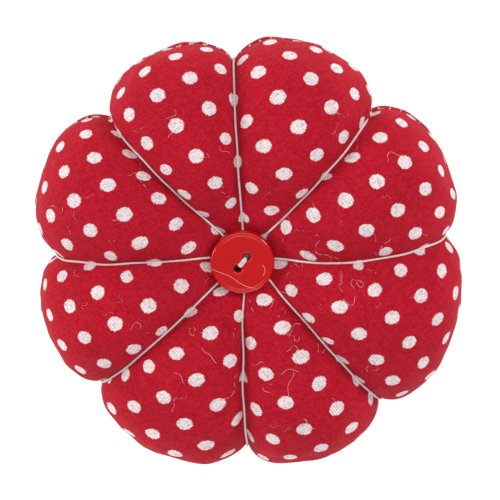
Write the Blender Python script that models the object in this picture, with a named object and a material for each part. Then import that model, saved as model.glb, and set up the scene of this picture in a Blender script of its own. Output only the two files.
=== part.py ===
"""Petal pincushion: two discs of printed cotton sewn edge to edge, stuffed, and drawn into eight
lobes by thread that runs round the outside and down through the middle, with a button on top and a
smaller backing button underneath. Metres, +Z up, standing on z = 0 with the centre of its outline
at x = y = 0. Run it with blender --background --python part.py.
"""

import math

import bmesh
import bpy
from mathutils import Vector

# Overall sizes
HEIGHT = 0.040  # table to the top of the lobes
LOBE_REACH = 0.0519  # core axis to the tip of an average lobe
NOTCH_DEPTH = 0.0058  # tip of an average lobe in to the notch beside it

# Heights and places of the stuffed shape
SEAM_DROP = 0.001  # mid height down to the seam round the edge
TOP_DIMPLE = 0.0101  # top of the lobes down to the cloth under the top button
TOP_CREASE = 0.0056  # top of the lobes down to the bottom of a crease
UNDER_CREASE = 0.0045  # table up to the bottom of a crease on the underside
LOBE_CREST = 0.0268  # core axis to the highest line of a lobe
CREASE_CREST = 0.0252  # core axis to the highest point of a crease
FLAT_PRESS = 0.0016  # how much of a round underside the table presses flat
LOBE_POWER = 2.3  # 2 makes an elliptical shoulder, more makes it squarer
CREASE_POWER = 1.9

# Cloth, thread and clearances
CLOTH = 0.0005  # thickness of the cotton
GAP = 0.0003  # clearance between two pieces that touch on the real object
SEAM_ALLOWANCE = 0.0045  # width of the turned-in edge inside the seam
SEAM_GROOVE = 0.0009  # half the height of the groove along the seam
SEAM_FOLD = 0.0008  # depth of that groove
SECTION_THREAD = 0.0005  # diameter of the thread that makes the lobes
SEAM_THREAD = 0.0004  # diameter of the sewing thread in the seam
CORE_BUNDLE = 0.0024  # diameter of the threads bundled in the middle

# Buttons
TOP_BUTTON = 0.015  # diameter, a 24 ligne button
TOP_BUTTON_THICKNESS = 0.0026
BACKING_BUTTON = 0.0115  # diameter, an 18 ligne button
BACKING_BUTTON_THICKNESS = 0.0020
BUTTON_HOLE = 0.0019  # diameter of each of the two holes
TOP_HOLE_SPACING = 0.00345  # between the two hole centres
BACKING_HOLE_SPACING = 0.0030
BUTTON_TURN = 53.0  # degrees from +X to the line through the two holes
TOP_BUTTON_SHIFT = (-0.0007, -0.0007)  # it was sewn on by hand, this far off the core axis
BUTTON_DISH = 0.00025  # how far the face lies below the rim
BUTTON_STITCH = 0.0008  # diameter of the doubled thread through the holes
SEAT_MARGIN = 0.0005  # how far the flat seat reaches past the button's edge
KNOT_SIZE = 0.0005  # half the spacing of the strands in the tied-off knot
KNOT_THREAD = 0.0004
FLOOR_GAP = 0.0007  # table to the lowest thread under the backing button

# Each crease: azimuth in degrees, radius beyond the average notch, sideways bow
CREASES = (
    (3.5, 0.0008, -0.0018),
    (48.0, -0.0020, -0.0001),
    (93.5, -0.0015, 0.0003),
    (135.5, -0.0020, -0.0002),
    (182.5, -0.0017, -0.0006),
    (223.5, 0.0012, -0.0002),
    (270.5, 0.0024, -0.0008),
    (311.0, 0.0028, 0.0009),
)
# Each lobe, from the crease of the same number to the next: share of the way across at which its
# tip lies, and its reach beyond the average
LOBES = (
    (0.525, -0.0008),
    (0.500, -0.0017),
    (0.500, -0.0014),
    (0.470, -0.0010),
    (0.490, -0.0010),
    (0.500, 0.0021),
    (0.485, 0.0023),
    (0.470, 0.0016),
)
CLOSED_BY_HAND = 2  # the lobe whose stretch of seam was left open for the stuffing

# How finely the shape is cut
ACROSS = 6  # facets across a lobe
TOP_SLOPE = (0.0, 0.28, 0.6, 1.0)  # shares of the way from the button's seat to the crest
TOP_SHOULDER = (22, 42, 60, 77, 90)  # degrees from the crest to the seam
UNDER_SLOPE = (0.0, 0.36, 0.72, 1.0)  # set closer about the crest, for the flats on the table
UNDER_SHOULDER = (16, 38, 58, 76, 90)
BUTTON_FACETS = 32

COTTON_RED = (0.480, 0.018, 0.032)
THREAD_PINK = (0.800, 0.640, 0.660)
BUTTON_RED = (0.560, 0.014, 0.018)
FIBRE_WHITE = (0.850, 0.840, 0.800)

# What follows from those sizes
SEAM_HEIGHT = HEIGHT / 2 - SEAM_DROP
TOP_SEAT = HEIGHT - TOP_DIMPLE
THREAD_STACK = GAP + SECTION_THREAD + GAP  # cloth to button, with a section thread between
TOP_BUTTON_BASE = TOP_SEAT + THREAD_STACK
KNOT_HEIGHT = 2 * KNOT_SIZE + KNOT_THREAD
BACKING_FACE = FLOOR_GAP + KNOT_HEIGHT + GAP
BACKING_BASE = BACKING_FACE + BACKING_BUTTON_THICKNESS
UNDER_SEAT = BACKING_BASE + THREAD_STACK
CORE_HOLE = CORE_BUNDLE / 2 + GAP
CHANNEL = SECTION_THREAD / 2 + GAP + 0.00015  # half the width of a crease's floor
THREAD_LIFT = GAP + SECTION_THREAD / 2  # cloth to the middle of a section thread

# The two halves of the stuffed shape, above and below the seam
TOP = {
    "side": 1,
    "seat": TOP_SEAT,
    "seat_radius": TOP_BUTTON / 2 + SEAT_MARGIN,
    "lobe": HEIGHT,
    "crease": HEIGHT - TOP_CREASE,
    "slope": TOP_SLOPE,
    "shoulder": TOP_SHOULDER,
}
UNDER = {
    "side": -1,
    "seat": UNDER_SEAT,
    "seat_radius": BACKING_BUTTON / 2 + SEAT_MARGIN,
    "lobe": -FLAT_PRESS,
    "crease": UNDER_CREASE,
    "slope": UNDER_SLOPE,
    "shoulder": UNDER_SHOULDER,
}


def notch_radius(crease):
    """Core axis to the notch where this crease crosses the seam."""
    return LOBE_REACH - NOTCH_DEPTH + CREASES[crease][1]


def meridian(half, reach, crest, height, power, inset):
    """(radius, height) points from the edge of the button's seat over the crest to the seam: a
    parabola up to the crest, then a superellipse. inset moves the line inwards from the cloth's
    outer surface."""
    inwards = -half["side"] * inset
    seat, top = half["seat"] + inwards, height + inwards
    edge = SEAM_HEIGHT + half["side"] * SEAM_GROOVE
    start = half["seat_radius"]
    points = []
    for share in half["slope"]:
        rise = 1 - (1 - share) ** 2
        points.append((start + share * (crest - start), seat + rise * (top - seat)))
    for degrees in half["shoulder"]:
        angle = math.radians(degrees)
        out = math.sin(angle) ** (2 / power)
        up = max(math.cos(angle), 0.0) ** (2 / power)
        points.append((crest + out * (reach - inset - crest), edge + up * (top - edge)))
    return points


def crease_point(crease, radius, height, sideways):
    """A point beside the middle line of a crease."""
    azimuth, _, bow = CREASES[crease]
    angle = math.radians(azimuth)
    shift = sideways + bow * math.sin(math.pi * min(radius / notch_radius(crease), 1.0))
    outwards = Vector((math.cos(angle), math.sin(angle), 0))
    across = Vector((-math.sin(angle), math.cos(angle), 0))
    return outwards * radius + across * shift + Vector((0, 0, height))


def tip_azimuth(lobe):
    """Azimuth in degrees of the tip of a lobe."""
    start = CREASES[lobe][0]
    span = (CREASES[(lobe + 1) % len(CREASES)][0] - start) % 360
    return start + LOBES[lobe][0] * span


def ring(inset, crease_lines, tip_lines):
    """One closed line round the cushion. Across each lobe it is the chord between two creases
    plus a rounded bulge towards the tip, and along each crease it leaves a narrow flat floor."""
    points = []
    for lobe in range(len(LOBES)):
        following = (lobe + 1) % len(LOBES)
        start = crease_point(lobe, *crease_lines[lobe], CHANNEL + inset)
        end = crease_point(following, *crease_lines[following], -CHANNEL - inset)
        angle = math.radians(tip_azimuth(lobe))
        radius, height = tip_lines[lobe]
        tip = Vector((radius * math.cos(angle), radius * math.sin(angle), height))
        bulge = tip - (start + end) / 2
        for step in range(ACROSS + 1):
            place = -math.cos(math.pi * step / ACROSS)
            rise = max(1 - abs(place) ** 2.2, 0.0) ** (1 / 1.75)
            points.append(start.lerp(end, (1 + place) / 2) + bulge * rise)
    return points


def half_rings(half, inset):
    """The rings of one half of the shape, from the hole at the core out to the seam."""
    creases = [
        meridian(half, notch_radius(i), CREASE_CREST, half["crease"], CREASE_POWER, inset)
        for i in range(len(CREASES))
    ]
    tips = [
        meridian(half, LOBE_REACH + LOBES[i][1], LOBE_CREST, half["lobe"], LOBE_POWER, inset)
        for i in range(len(LOBES))
    ]
    rings = []
    for step in range(len(half["slope"]) + len(half["shoulder"])):
        line = ring(inset, [c[step] for c in creases], [t[step] for t in tips])
        rings.append([Vector((p.x, p.y, max(p.z, inset))) for p in line])
    inner = [Vector((p.x, p.y, 0)).normalized() * CORE_HOLE for p in rings[0]]
    hole = [Vector((p.x, p.y, half["seat"] - half["side"] * inset)) for p in inner]
    return [hole] + rings


def seam_ring(inset, height):
    """The outline at the seam, moved inwards."""
    creases = [(notch_radius(i) - inset, height) for i in range(len(CREASES))]
    tips = [(LOBE_REACH + LOBES[i][1] - inset, height) for i in range(len(LOBES))]
    return ring(inset, creases, tips)


def outline_centre():
    """Centre of the plan outline, which becomes x = y = 0."""
    outline = seam_ring(0, 0)
    xs, ys = [p.x for p in outline], [p.y for p in outline]
    return Vector(((min(xs) + max(xs)) / 2, (min(ys) + max(ys)) / 2, 0))


CORE_AXIS = -outline_centre()


def material(name, colour, roughness):
    """A plain Principled material."""
    made = bpy.data.materials.new(name)
    made.use_nodes = True
    shader = made.node_tree.nodes["Principled BSDF"]
    shader.inputs["Base Color"].default_value = (*colour, 1)
    shader.inputs["Roughness"].default_value = roughness
    return made


def place(name, data, look):
    """Adds an object whose origin is on the core axis."""
    made = bpy.data.objects.new(name, data)
    bpy.context.scene.collection.objects.link(made)
    made.location = CORE_AXIS
    data.materials.append(look)
    return made


def skin(name, rings, look):
    """A closed solid through rings of equally many points, the last ring joined to the first."""
    mesh = bmesh.new()
    rows = [[mesh.verts.new(p) for p in line] for line in rings]
    for row, following in zip(rows, rows[1:] + rows[:1]):
        for i in range(len(row)):
            j = (i + 1) % len(row)
            a, b, c, d = row[i], row[j], following[j], following[i]
            rising = i % (ACROSS + 1) < ACROSS / 2
            for corners in ((a, b, c), (a, c, d)) if rising else ((a, b, d), (b, c, d)):
                mesh.faces.new(corners)
    bmesh.ops.recalc_face_normals(mesh, faces=mesh.faces)
    data = bpy.data.meshes.new(name)
    mesh.to_mesh(data)
    mesh.free()
    return place(name, data, look)


def cord(name, points, diameter, look, closed=False, sides=1):
    """A round thread along points."""
    curve = bpy.data.curves.new(name, "CURVE")
    curve.dimensions = "3D"
    curve.bevel_depth = diameter / 2
    curve.bevel_resolution = sides
    curve.use_fill_caps = not closed
    spline = curve.splines.new("POLY")
    spline.points.add(len(points) - 1)
    for target, point in zip(spline.points, points):
        target.co = (*point, 1)
    spline.use_cyclic_u = closed
    return place(name, curve, look)


def make_cover(name, half, look):
    """One disc of cotton: outside, groove along the seam, turned-in edge, and back up inside."""
    level = SEAM_HEIGHT + half["side"] * GAP / 2
    inside = SEAM_HEIGHT + half["side"] * (GAP / 2 + CLOTH)
    fold = seam_ring(SEAM_FOLD, level)
    raw_edge = [
        seam_ring(SEAM_FOLD + SEAM_ALLOWANCE, level),
        seam_ring(SEAM_FOLD + SEAM_ALLOWANCE, inside),
    ]
    corner = seam_ring(SEAM_FOLD + CLOTH, inside)
    outside, lining = half_rings(half, 0), half_rings(half, CLOTH)
    return skin(name, outside + [fold] + raw_edge + [corner] + lining[::-1], look)


def make_filling(look):
    """The stuffing: one pad with a hole at the core and a slot round it for the turned-in edges."""
    inset = CLOTH + GAP
    slot_side = GAP / 2 + CLOTH + GAP
    slot = [
        seam_ring(SEAM_FOLD + CLOTH + GAP, SEAM_HEIGHT + slot_side),
        seam_ring(SEAM_FOLD + SEAM_ALLOWANCE + GAP, SEAM_HEIGHT + slot_side),
        seam_ring(SEAM_FOLD + SEAM_ALLOWANCE + GAP, SEAM_HEIGHT - slot_side),
        seam_ring(SEAM_FOLD + CLOTH + GAP, SEAM_HEIGHT - slot_side),
    ]
    rings = half_rings(TOP, inset) + slot + half_rings(UNDER, inset)[::-1]
    return skin("filling", rings, look)


def lifted(line, lift):
    """A line of (radius, height) points moved sideways by lift, away from the shape's middle."""
    moved = []
    for i, (radius, height) in enumerate(line):
        before, after = line[max(i - 1, 0)], line[min(i + 1, len(line) - 1)]
        along = Vector((after[0] - before[0], after[1] - before[1])).normalized()
        moved.append((radius - along.y * lift, height + along.x * lift))
    return moved


def section_thread_line(crease):
    """(radius, height) points of the thread in a crease: from the core under the top button, over
    the top, round the notch and back under to the core above the backing button."""
    reach = notch_radius(crease)
    start = CORE_BUNDLE / 2 + GAP + SECTION_THREAD / 4
    lines = []
    for half in (TOP, UNDER):
        line = meridian(half, reach, CREASE_CREST, half["crease"], CREASE_POWER, 0)
        flat = [(start, half["seat"]), ((start + line[0][0]) / 2, half["seat"])]
        lines.append(flat + line)
    return lifted(lines[0] + lines[1][::-1], THREAD_LIFT)


def make_section_threads(look):
    """One thread for each crease."""
    for crease in range(len(CREASES)):
        line = section_thread_line(crease)
        path = [crease_point(crease, radius, height, 0) for radius, height in line]
        cord(f"section_thread_{crease + 1}", path, SECTION_THREAD, look)


def make_seam_threads(look):
    """Machine stitching round the seam, and hand stitching along the lobe closed after filling."""
    outline = seam_ring(SEAM_THREAD / 2, SEAM_HEIGHT)
    first = CLOSED_BY_HAND * (ACROSS + 1)
    stretch = outline[first : first + ACROSS + 1]
    rest = (outline + outline)[first + ACROSS + 1 : first + len(outline)]
    by_hand = [stretch[0].lerp(stretch[1], 0.5), *stretch[1:-1], stretch[-2].lerp(stretch[-1], 0.5)]
    cord("seam_thread", rest, SEAM_THREAD, look)
    cord("closing_thread", by_hand, SEAM_THREAD, look)


def make_core_bundle(look):
    """The section threads where they run together through the middle, twisted round each other."""
    low = UNDER_SEAT - THREAD_STACK + GAP + GAP
    high = TOP_SEAT + THREAD_STACK - GAP - GAP
    strands, around, levels = 4, 16, 12
    points = []
    for level in range(levels + 1):
        height = low + (high - low) * level / levels
        twist = math.pi * level / levels
        line = []
        for step in range(around):
            angle = 2 * math.pi * step / around
            flute = 1 + math.cos(strands * (angle - twist))
            radius = CORE_BUNDLE / 2 * (0.84 + 0.08 * flute)
            line.append(Vector((radius * math.cos(angle), radius * math.sin(angle), height)))
        points.append(line)
    mesh = bmesh.new()
    rows = [[mesh.verts.new(p) for p in line] for line in points]
    for row, following in zip(rows, rows[1:]):
        for i in range(around):
            j = (i + 1) % around
            mesh.faces.new((row[i], row[j], following[j], following[i]))
    mesh.faces.new(rows[0])
    mesh.faces.new(rows[-1])
    bmesh.ops.recalc_face_normals(mesh, faces=mesh.faces)
    data = bpy.data.meshes.new("core_bundle")
    mesh.to_mesh(data)
    mesh.free()
    return place("core_bundle", data, look)


def button_profile(radius, thickness):
    """(radius, height) points of a button, from the middle of its back round to its face."""
    back_edge, rim = 0.72 * radius, 0.35 * thickness
    points = [(0, 0), (back_edge, 0)]
    for degrees in (-60, -30, 0):
        angle = math.radians(degrees)
        across, down = radius - back_edge, 0.45 * thickness
        points.append((back_edge + across * math.cos(angle), down * (1 + math.sin(angle))))
    for degrees in (0, 35, 65, 90):
        angle = math.radians(degrees)
        points.append(
            (radius - rim + rim * math.cos(angle), thickness - rim + rim * math.sin(angle))
        )
    face = thickness - BUTTON_DISH
    points += [(radius - 1.8 * rim, face), (0, face)]
    return points


def make_button(name, diameter, thickness, spacing, base, up, look):
    """A two-hole button turned from its profile. base is the height of its back, and up is 1
    where its face looks up."""
    mesh = bmesh.new()
    profile = [mesh.verts.new((r, 0, z)) for r, z in button_profile(diameter / 2, thickness)]
    edges = [mesh.edges.new(pair) for pair in zip(profile, profile[1:])]
    bmesh.ops.spin(
        mesh,
        geom=profile + edges,
        axis=(0, 0, 1),
        cent=(0, 0, 0),
        angle=2 * math.pi,
        steps=BUTTON_FACETS,
    )
    bmesh.ops.remove_doubles(mesh, verts=mesh.verts, dist=0.000001)
    bmesh.ops.recalc_face_normals(mesh, faces=mesh.faces)
    data = bpy.data.meshes.new(name)
    mesh.to_mesh(data)
    mesh.free()
    data.shade_smooth()
    data.set_sharp_from_angle(angle=math.radians(35))
    button = place(name, data, look)
    button.location.z = base
    button.rotation_euler = (0 if up > 0 else math.pi, 0, math.radians(BUTTON_TURN))
    for number, side in enumerate((-1, 1)):
        bpy.ops.mesh.primitive_cylinder_add(
            vertices=12, radius=BUTTON_HOLE / 2, depth=4 * thickness
        )
        cutter = bpy.context.object
        cutter.name = f"{name}_hole_cutter_{number + 1}"
        cutter.parent = button
        cutter.location.x = side * spacing / 2
        cutter.hide_render = True
        cutter.display_type = "WIRE"
        hole = button.modifiers.new(f"hole_{number + 1}", "BOOLEAN")
        hole.operation = "DIFFERENCE"
        hole.object = cutter
    return button


def make_stitch(name, spacing, face, back, up, look):
    """The doubled thread through a button's holes: a bar over the face with a leg down each."""
    turn = math.radians(BUTTON_TURN)
    along = Vector((math.cos(turn), math.sin(turn), 0))
    bend = BUTTON_STITCH * 0.6
    bar = face + up * (GAP + BUTTON_STITCH / 2)
    path = []
    for side in (-1, 1):
        leg = [(spacing / 2, back + up * GAP / 2), (spacing / 2, bar - up * bend)]
        for degrees in (30, 60, 90):
            angle = math.radians(degrees)
            leg.append(
                (
                    spacing / 2 - bend * (1 - math.cos(angle)),
                    bar - up * bend * (1 - math.sin(angle)),
                )
            )
        points = [along * (side * reach) + Vector((0, 0, height)) for reach, height in leg]
        path += points if side < 0 else points[::-1]
    return cord(name, path, BUTTON_STITCH, look, sides=2)


def make_knot(look):
    """The tied-off knot beside the backing button's stitch: a trefoil, lying on the face."""
    turn = math.radians(BUTTON_TURN + 90)
    aside = 0.30 * BACKING_BUTTON
    centre = Vector((aside * math.cos(turn), aside * math.sin(turn), FLOOR_GAP + KNOT_HEIGHT / 2))
    steps = 36
    path = []
    for step in range(steps):
        t = 2 * math.pi * step / steps
        path.append(
            centre
            + KNOT_SIZE
            * Vector(
                (
                    math.sin(t) + 2 * math.sin(2 * t),
                    math.cos(t) - 2 * math.cos(2 * t),
                    -math.sin(3 * t),
                )
            )
        )
    return cord("tie_off_knot", path, KNOT_THREAD, look, closed=True)


def main():
    """Clears the scene and makes every piece."""
    for old in list(bpy.data.objects):
        bpy.data.objects.remove(old)
    cotton = material("printed_cotton", COTTON_RED, 0.9)
    fibre = material("stuffing_fibre", FIBRE_WHITE, 1.0)
    thread = material("white_thread", THREAD_PINK, 0.7)
    gloss = material("red_button", BUTTON_RED, 0.2)

    make_cover("top_cover", TOP, cotton)
    make_cover("bottom_cover", UNDER, cotton)
    make_filling(fibre)
    make_section_threads(thread)
    make_seam_threads(thread)
    make_core_bundle(thread)
    shift = Vector((*TOP_BUTTON_SHIFT, 0))
    make_button(
        "top_button", TOP_BUTTON, TOP_BUTTON_THICKNESS, TOP_HOLE_SPACING, TOP_BUTTON_BASE, 1, gloss
    ).location += shift
    make_button(
        "backing_button",
        BACKING_BUTTON,
        BACKING_BUTTON_THICKNESS,
        BACKING_HOLE_SPACING,
        BACKING_BASE,
        -1,
        gloss,
    )
    top_face = TOP_BUTTON_BASE + TOP_BUTTON_THICKNESS - BUTTON_DISH
    stitch = make_stitch("top_button_stitch", TOP_HOLE_SPACING, top_face, TOP_BUTTON_BASE, 1, thread)
    stitch.location += shift
    make_stitch(
        "backing_button_stitch",
        BACKING_HOLE_SPACING,
        BACKING_FACE + BUTTON_DISH,
        BACKING_BASE,
        -1,
        thread,
    )
    make_knot(thread)


main()
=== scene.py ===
"""Looks for a petal pincushion: printed cotton stuffed tight, pulled into lobes by thread, with a
polished button on top and a smaller one underneath. Metres, +Z up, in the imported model's frame.
"""

import math

import bpy
import numpy as np
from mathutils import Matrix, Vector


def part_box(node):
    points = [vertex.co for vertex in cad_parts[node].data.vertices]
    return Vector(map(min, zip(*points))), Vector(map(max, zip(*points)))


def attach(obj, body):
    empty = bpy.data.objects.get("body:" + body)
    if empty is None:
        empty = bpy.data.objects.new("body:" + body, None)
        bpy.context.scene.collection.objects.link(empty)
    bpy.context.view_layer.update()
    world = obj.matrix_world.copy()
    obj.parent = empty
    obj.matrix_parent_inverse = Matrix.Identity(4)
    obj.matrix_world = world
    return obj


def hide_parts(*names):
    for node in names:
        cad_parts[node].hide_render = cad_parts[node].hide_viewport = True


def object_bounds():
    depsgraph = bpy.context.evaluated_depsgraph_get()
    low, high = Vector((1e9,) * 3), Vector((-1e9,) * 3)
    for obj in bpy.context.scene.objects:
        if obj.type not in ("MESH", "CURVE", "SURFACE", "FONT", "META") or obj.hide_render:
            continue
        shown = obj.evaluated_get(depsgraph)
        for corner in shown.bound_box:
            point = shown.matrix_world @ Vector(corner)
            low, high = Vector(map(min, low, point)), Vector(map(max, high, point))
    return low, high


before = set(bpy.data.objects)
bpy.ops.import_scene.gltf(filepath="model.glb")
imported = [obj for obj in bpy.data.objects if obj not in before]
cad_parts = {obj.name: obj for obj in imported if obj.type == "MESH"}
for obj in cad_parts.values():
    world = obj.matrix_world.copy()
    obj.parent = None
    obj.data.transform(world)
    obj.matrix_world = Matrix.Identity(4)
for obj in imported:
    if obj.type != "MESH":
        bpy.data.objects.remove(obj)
cad_low, cad_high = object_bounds()

# Shape of the stuffed cushion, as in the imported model
LOBE_REACH = 0.0519  # core axis to the tip of an average lobe
NOTCH_REACH = 0.0461  # core axis to an average notch between two lobes
LOBE_CREST = 0.0268  # core axis to the highest line of a lobe
CREASE_CREST = 0.0252
LOBE_POWER = 2.3  # 2 is an elliptical shoulder, more is squarer
CREASE_POWER = 1.9
TOP_CREASE = 0.0056  # top of the lobes down to the bottom of a crease
UNDER_CREASE = 0.0045
FLAT_PRESS = 0.0016  # how much of a round underside the table presses flat
SEAT_DEPTH = 0.0011  # from a button's face to the lowest cloth under it
# Each crease: azimuth in degrees, reach beyond the average notch, sideways bow; then where the
# thread caught the flat cloth: turned by so many degrees, and further out by so much
CREASES = np.array(
    [
        (3.5, 0.0008, -0.0018, -1.8, -0.0042),
        (48.0, -0.0020, -0.0001, 3.3, 0.0009),
        (93.5, -0.0015, 0.0003, -0.1, 0.0050),
        (135.5, -0.0020, -0.0002, -3.7, 0.0024),
        (182.5, -0.0017, -0.0006, -1.0, -0.0035),
        (223.5, 0.0012, -0.0002, 3.4, -0.0019),
        (270.5, 0.0024, -0.0008, -1.2, 0.0034),
        (311.0, 0.0028, 0.0009, -2.4, 0.0011),
    ]
)
CLOSED_OVER = [1, 3]  # creases whose two lobes meet over the thread near the seam
# Each lobe: share of the way from its crease to the next at which its tip lies, and its reach
# beyond the average; then how far the flat cloth in its middle was drawn in, and its turn
LOBES = np.array(
    [
        (0.525, -0.0008, 0.0029, 1.4),
        (0.500, -0.0017, 0.0026, 1.4),
        (0.500, -0.0014, 0.0034, -0.1),
        (0.470, -0.0010, 0.0017, 0.8),
        (0.490, -0.0010, 0.0035, 1.1),
        (0.500, 0.0021, 0.0033, 1.8),
        (0.485, 0.0023, 0.0025, 0.9),
        (0.470, 0.0016, 0.0022, -1.2),
    ]
)
LOBE_COUNT = len(LOBES)
CLOSED_BY_HAND = 2  # the lobe whose stretch of seam was sewn up after the stuffing went in

# Cloth
CLOTH = 0.00035  # thickness of the cotton
SEAM_FOLD = 0.0004  # depth of the valley along the seam
SEAM_GROOVE = 0.0006  # half its height
SEAM_ALLOWANCE = 0.0042  # width of the edge turned in behind the seam
CLOTH_HOLE = 0.0015  # from the core axis to where the threads go through the cloth
SLOPE_WAY = 0.36  # share of the way from the button's seat to the seam at which the crest lies
COLUMNS = 64  # columns of the covers' grid in each lobe
SLOPE_ROWS = 28
SHOULDER_ROWS = 48
SETTLING = 24  # columns in each lobe while the cloth settles
SWELLING_KEPT, SWELLING_CAP = 0.2, 0.0003  # share of the simulated swelling, and the most of it
WRINKLES_KEPT, WRINKLES_CAP = 0.45, 0.0005
PULLED_OVER = 0.042  # distance from the core over which a crease's shift grows
CLOTH_STRETCH = 0.991  # flat length of the cloth over its length on the cushion
UNDERSIDE_CUT = (0.35, 0.2)  # where the lower disc was cut from the print, in pitches
DOT_PITCH = 0.0084  # printed dots, centre to centre
DOT_DIAMETER = 0.0034
WEAVE = 0.00050  # thread spacing; usual quilting cotton is nearer 0.35 mm, too fine to show
PRINT_TURN = 31.3  # degrees from +X to the rows of dots
PRINT_SHIFT = (-0.0179, 0.0411)  # a dot's centre on the flat cloth, from the disc's centre

# Thread
SECTION_THREAD = 0.00056  # diameter of the thread that makes the lobes
SEWING_THREAD = 0.00030
STITCH_PITCH = 0.0026
LADDER_PITCH = 0.0031
LAY = 3.3  # length of one turn of a thread's twist, in its own diameters
CORE_REACH = 0.0018  # from the core axis to where a section thread joins the core
RESTING = 0.42  # height of a thread's middle over the cloth, in its own diameters
SINKING, SINKING_REACH = 1.15, 0.0085  # how far it sinks where lobes close over it, and how high

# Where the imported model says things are


def middle_of(low, high):
    """(x, y) of the middle of a box."""
    return np.array(((low + high) / 2)[:2])


core_low, core_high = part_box("core_bundle")
CORE = middle_of(core_low, core_high)
SEAM_HEIGHT = sum(corner.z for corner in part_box("seam_thread")) / 2
button_low, button_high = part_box("top_button")
backing_low, backing_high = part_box("backing_button")
TOP_RADIUS = (button_high.x - button_low.x) / 2
BACKING_RADIUS = (backing_high.x - backing_low.x) / 2

TOP = {
    "seat": button_low.z - SEAT_DEPTH,
    "seat_radius": TOP_RADIUS + 0.0005,
    "lobe": cad_high.z,
    "crease": cad_high.z - TOP_CREASE,
}
UNDER = {
    "seat": backing_high.z + SEAT_DEPTH,
    "seat_radius": BACKING_RADIUS + 0.0005,
    "lobe": -FLAT_PRESS,
    "crease": UNDER_CREASE,
}


# Arrays of points


def unit(vectors):
    """Vectors of length one."""
    return vectors / np.maximum(np.linalg.norm(vectors, axis=-1, keepdims=True), 1e-12)


def waves(points, wavelength, seed, count=24):
    """Smooth irregularity of about unit size: the sum of plane waves in random directions, all of
    nearly the same wavelength."""
    random = np.random.default_rng(seed)
    stretch = random.uniform(0.8, 1.25, (count, 1))
    directions = unit(random.normal(size=(count, points.shape[-1])))
    directions = directions * 2 * np.pi / (wavelength * stretch)
    phases = random.uniform(0, 2 * np.pi, count)
    return np.cos(points @ directions.T + phases).sum(-1) * math.sqrt(2 / count)


def length_along(points, axis):
    """Distance from the start of each line of points, measured along that axis."""
    steps = np.linalg.norm(np.diff(points, axis=axis), axis=-1)
    start = np.zeros_like(np.take(steps, [0], axis=axis))
    return np.concatenate([start, np.cumsum(steps, axis=axis)], axis=axis)


def even(path, spacing):
    """The same path with points that far apart."""
    along = length_along(path, 0)
    at = np.linspace(0, along[-1], max(int(along[-1] / spacing), 2) + 1)
    return np.stack([np.interp(at, along, column) for column in path.T], -1)


def polar(radius, azimuth, height, centre=CORE):
    """Points round an upright axis, by default the core's. azimuth is in radians."""
    radius, azimuth, height = np.broadcast_arrays(radius, azimuth, height)
    across, up = centre[0] + radius * np.cos(azimuth), centre[1] + radius * np.sin(azimuth)
    return np.stack([across, up, height], -1)


# The cushion's surface


def meridian(half, way, reach, crest, height, power, fold=SEAM_FOLD):
    """(radius, height) along one line from the core to the seam. way is 0 at the edge of the
    button's seat, SLOPE_WAY at the crest and 1 at the seam, and below 0 under the button. The
    slope is a parabola with a softened start, the shoulder is a quarter of a superellipse, and a
    narrow bell-shaped valley is taken out along the seam."""
    start = half["seat_radius"]
    share = way / SLOPE_WAY
    soften = 0.12
    eased = (share + np.sqrt(share**2 + soften**2)) / (1 + math.sqrt(1 + soften**2))
    slope = half["seat"] + (height - half["seat"]) * (1 - (1 - np.minimum(eased, 1)) ** 2)
    angle = np.clip((way - SLOPE_WAY) / (1 - SLOPE_WAY), 0, 1) * np.pi / 2
    out, up = np.sin(angle) ** (2 / power), np.clip(np.cos(angle), 0, 1) ** (2 / power)
    on_slope = way < SLOPE_WAY
    radius = np.where(on_slope, start + (crest - start) * share, crest + out * (reach - crest))
    level = np.where(on_slope, slope, SEAM_HEIGHT + up * (height - SEAM_HEIGHT))
    radius = radius - fold * np.exp(-(((level - SEAM_HEIGHT) / SEAM_GROOVE) ** 2))
    return radius, level


def crease_lines(half, way, fold=SEAM_FOLD):
    """Points along the bottom of every crease, (rows, creases, 3): a meridian whose plan bows
    sideways by the sine of its share of the radius."""
    azimuth, reach = np.radians(CREASES[:, 0]), NOTCH_REACH + CREASES[:, 1]
    radius, level = meridian(
        half, way[:, None], reach, CREASE_CREST, half["crease"], CREASE_POWER, fold
    )
    bow = CREASES[:, 2] * np.sin(np.pi * np.clip(radius / reach, 0, 1))
    points = polar(radius, azimuth, level)
    points[..., 0] -= bow * np.sin(azimuth)
    points[..., 1] += bow * np.cos(azimuth)
    return points


def tip_lines(half, way):
    """Points along the middle of every lobe, (rows, lobes, 3)."""
    start = CREASES[:, 0]
    azimuth = np.radians(start + LOBES[:, 0] * ((np.roll(start, -1) - start) % 360))
    radius, level = meridian(
        half, way[:, None], LOBE_REACH + LOBES[:, 1], LOBE_CREST, half["lobe"], LOBE_POWER
    )
    return polar(radius, azimuth, level)


def lobed_surface(half, way, share):
    """The taut surface of one half, (rows, columns round, 3), with a column at each of those
    shares of the way across every lobe. Each row crosses a lobe as the straight line between its
    two creases plus a rounded bulge towards the lobe's middle, which starts beside the thread."""
    creases, tips = crease_lines(half, way), tip_lines(half, way)
    following = np.roll(creases, -1, axis=1)
    chord = np.linalg.norm(following - creases, axis=-1)[..., None]
    beside = np.clip(1.1 * SECTION_THREAD / chord, 0, 0.6)
    across = np.clip(np.abs(2 * share - 1) / (1 - beside), 0, 1)
    bulge = (1 - across**2.2) ** (1 / 1.75)
    creases, tips, following = creases[:, :, None], tips[:, :, None], following[:, :, None]
    points = creases + (following - creases) * share[:, None]
    points = points + (tips - (creases + following) / 2) * bulge[..., None]
    points = points.reshape(len(way), -1, 3)
    points[..., 2] = np.maximum(points[..., 2], 0)
    return points


def way_at(half, radius):
    """The way at which a meridian is that far from the core, inside the crest."""
    return (radius - half["seat_radius"]) / (LOBE_CREST - half["seat_radius"]) * SLOPE_WAY


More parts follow.
